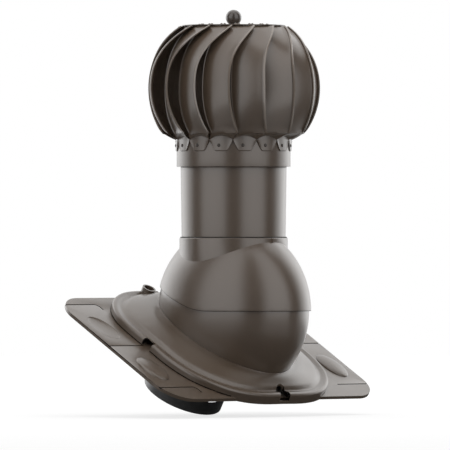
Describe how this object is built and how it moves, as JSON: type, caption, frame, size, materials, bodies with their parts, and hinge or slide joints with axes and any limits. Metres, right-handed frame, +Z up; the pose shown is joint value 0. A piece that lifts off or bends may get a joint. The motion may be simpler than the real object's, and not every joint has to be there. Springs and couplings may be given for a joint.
{
  "type": "roof_turbine_ventilator",
  "caption": "Brown painted roof turbine ventilator: globe rotor on an insulated pipe, tilting hood and moulded flashing plate for a pitched roof.",
  "frame": {"origin": "centre of the duct spigot where its axis passes the underside of the flashing plate", "axes": "+Z up along the pipe, X across the roof slope, -Y down the slope"},
  "size_m": [0.45, 0.3003, 0.6171],
  "materials": {
    "plate_plastic": "satin moulded",
    "shell_paint": "satin metallic paint",
    "pipe_paint": "satin metallic paint",
    "rotor_paint": "satin metallic paint",
    "painted_rivet": "satin paint",
    "spigot_plastic": "satin moulded",
    "inner_plastic": "matt moulded",
    "seal_rubber": "matt",
    "insulation_foam": "matt foam",
    "galvanised_sheet": "galvanised",
    "bare_steel": "turned",
    "bearing_steel": "ground",
    "zinc_screw": "plated",
    "cast_housing": "turned casting"
  },
  "bodies": {
    "roof_flange": {"roof_plate": "plate_plastic", "cowl": "plate_plastic", "lower_shell": "shell_paint", "shell_gasket": "seal_rubber", "duct_spigot": "spigot_plastic", "spigot_screws": "zinc_screw", "shell_screws": "zinc_screw", "cowl_screws": "zinc_screw", "pivot_pins": "bare_steel"},
    "vent_stack": {"upper_hood": "shell_paint", "sleeve_seal": "seal_rubber", "outer_pipe": "pipe_paint", "inner_pipe": "galvanised_sheet", "insulation_sleeve": "insulation_foam", "upper_ring": "inner_plastic", "pivot_yoke": "galvanised_sheet", "yoke_screws": "zinc_screw", "axle_spider": "galvanised_sheet", "spider_screws": "zinc_screw", "axle": "bare_steel", "axle_spacer": "bare_steel", "axle_washer": "zinc_screw", "axle_nut": "zinc_screw", "axle_locknut": "zinc_screw", "lower_bearing_inner": "bearing_steel", "upper_bearing_inner": "bearing_steel"},
    "turbine_head": {"lower_bearing_outer": "bearing_steel", "upper_bearing_outer": "bearing_steel", "collar_ring": "rotor_paint", "lower_rotor_spider": "galvanised_sheet", "collar_rivets": "painted_rivet", "top_disc": "rotor_paint", "top_rivets": "painted_rivet", "bearing_housing": "cast_housing", "housing_screws": "painted_rivet", "finial": "rotor_paint", "blade_01": "rotor_paint", "blade_02": "rotor_paint", "blade_03": "rotor_paint", "blade_04": "rotor_paint", "blade_05": "rotor_paint", "blade_06": "rotor_paint", "blade_07": "rotor_paint", "blade_08": "rotor_paint", "blade_09": "rotor_paint", "blade_10": "rotor_paint", "blade_11": "rotor_paint", "blade_12": "rotor_paint", "blade_13": "rotor_paint", "blade_14": "rotor_paint", "blade_15": "rotor_paint"}
  },
  "joints": [
    {"name": "pitch_tilt", "type": "hinge", "parent": "roof_flange", "child": "vent_stack", "pos_m": [0, -0.06145, 0.04443], "axis": [1, 0, 0], "range_deg": [-5, 15]},
    {"name": "turbine_spin", "type": "hinge", "parent": "vent_stack", "child": "turbine_head", "pos_m": [0, -0.06145, 0.3], "axis": [0, 0, 1], "continuous": true}
  ]
}
